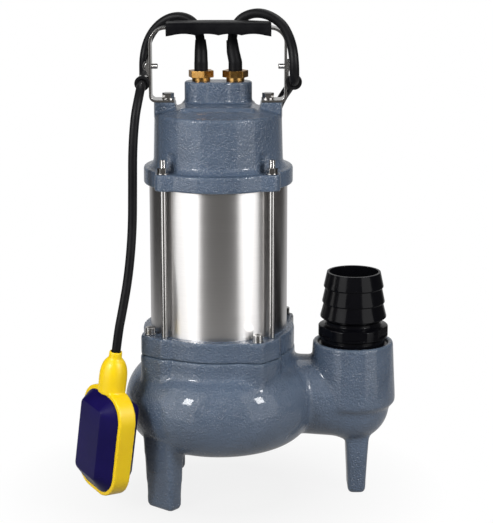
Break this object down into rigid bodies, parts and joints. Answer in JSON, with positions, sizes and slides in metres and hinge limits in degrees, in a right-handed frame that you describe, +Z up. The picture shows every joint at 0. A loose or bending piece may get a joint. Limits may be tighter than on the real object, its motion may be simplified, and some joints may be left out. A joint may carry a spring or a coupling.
{
  "type": "submersible sump pump",
  "caption": "Upright submersible pump with cast volute on feet, steel motor tube, carrying handle, hose tail outlet and a float switch on its cable.",
  "frame": {"origin": "centre of the suction mouth at its lower face, on the pump's axis", "axes": "+Z up along the pump's axis, +X towards the outlet, the float switch at the front left"},
  "size_m": [0.2732, 0.3357, 0.4167],
  "materials": {
    "casing_enamel": "satin enamel over sand-cast iron",
    "brushed_tube": "brushed stainless tube",
    "bright_steel": "plain stainless steel",
    "lamination_steel": "stacked sheet",
    "winding_copper": "varnished copper wire",
    "cage_aluminium": "die-cast",
    "impeller_iron": "cast",
    "gland_brass": "machined brass",
    "black_rubber": "matt rubber",
    "cable_rubber": "smooth rubber cable jacket",
    "black_plastic": "moulded, fine texture",
    "tail_plastic": "glossy moulded plastic",
    "capacitor_shell": "moulded shell",
    "seal_ceramic": "lapped ceramic",
    "float_yellow": "moulded polypropylene",
    "float_navy": "moulded polypropylene"
  },
  "bodies": {
    "root": {"volute_casing": "casing_enamel", "motor_base": "casing_enamel", "seal_cover": "casing_enamel", "seal_cover_screws": "bright_steel", "seal_seat": "seal_ceramic", "oil_seal": "black_rubber", "oil_plug": "bright_steel", "housing_orings": "black_rubber", "flange_screws": "bright_steel", "flange_washers": "bright_steel", "motor_tube": "brushed_tube", "stator_core": "lamination_steel", "stator_winding": "winding_copper", "bearing_outer_rings": "bright_steel", "bearing_wave_washer": "bright_steel", "upper_bearing_bracket": "casing_enamel", "cover_gasket": "black_rubber", "upper_cover": "casing_enamel", "capacitor": "capacitor_shell", "capacitor_clip": "bright_steel", "terminal_block": "black_plastic", "tie_rods": "bright_steel", "tie_rod_nuts": "bright_steel", "cable_glands": "gland_brass", "gland_nuts": "gland_brass", "gland_seals": "black_rubber", "cable_sleeves": "black_rubber", "handle_strip": "bright_steel", "handle_grip": "black_plastic", "handle_bolts": "bright_steel", "cable_clips": "bright_steel", "clip_linings": "black_rubber", "clip_screws": "bright_steel", "hose_tail": "tail_plastic", "hose_tail_gasket": "black_rubber", "float_cable_upper": "cable_rubber", "power_cable": "cable_rubber", "power_cable_coil": "cable_rubber", "power_cable_tail": "cable_rubber", "coil_ties": "black_plastic", "power_plug": "black_plastic", "plug_pins": "gland_brass"},
    "rotor": {"shaft": "bright_steel", "shaft_key": "bright_steel", "rotor_core": "lamination_steel", "rotor_cage": "cage_aluminium", "bearing_inner_rings": "bright_steel", "bearing_balls": "bright_steel", "seal_head": "black_rubber", "seal_spring": "bright_steel", "seal_retaining_ring": "bright_steel", "impeller": "impeller_iron", "impeller_bolt": "bright_steel"},
    "float_switch": {"float_cable_lower": "cable_rubber", "float_band": "float_yellow", "float_shells": "float_navy", "switch_carrier": "black_plastic", "float_microswitch": "black_plastic"},
    "ball": {"float_ball": "bright_steel"},
    "lever": {"switch_lever": "bright_steel"}
  },
  "joints": [
    {"name": "rotor_spin", "type": "hinge", "parent": "root", "child": "rotor", "pos_m": [0, 0, 0.1], "axis": [0, 0, 1], "continuous": true},
    {"name": "float_swing", "type": "hinge", "parent": "root", "child": "float_switch", "pos_m": [-0.0625, 0, 0.307], "axis": [0, 1, 0], "range_deg": [0, 110]},
    {"name": "ball_roll", "type": "slide", "parent": "float_switch", "child": "ball", "axis": [0.123, -0.0884, 0.9885], "range_m": [0, 0.02]},
    {"name": "lever_turn", "type": "hinge", "parent": "float_switch", "child": "lever", "pos_m": [-0.10109, -0.04202, 0.02058], "axis": [-0.8159, -0.576, 0.05], "range_deg": [0, 4]}
  ],
  "couplings": [
    {"joint": "lever_turn", "follows": "ball_roll", "rad_per_m": 3.49}
  ]
}
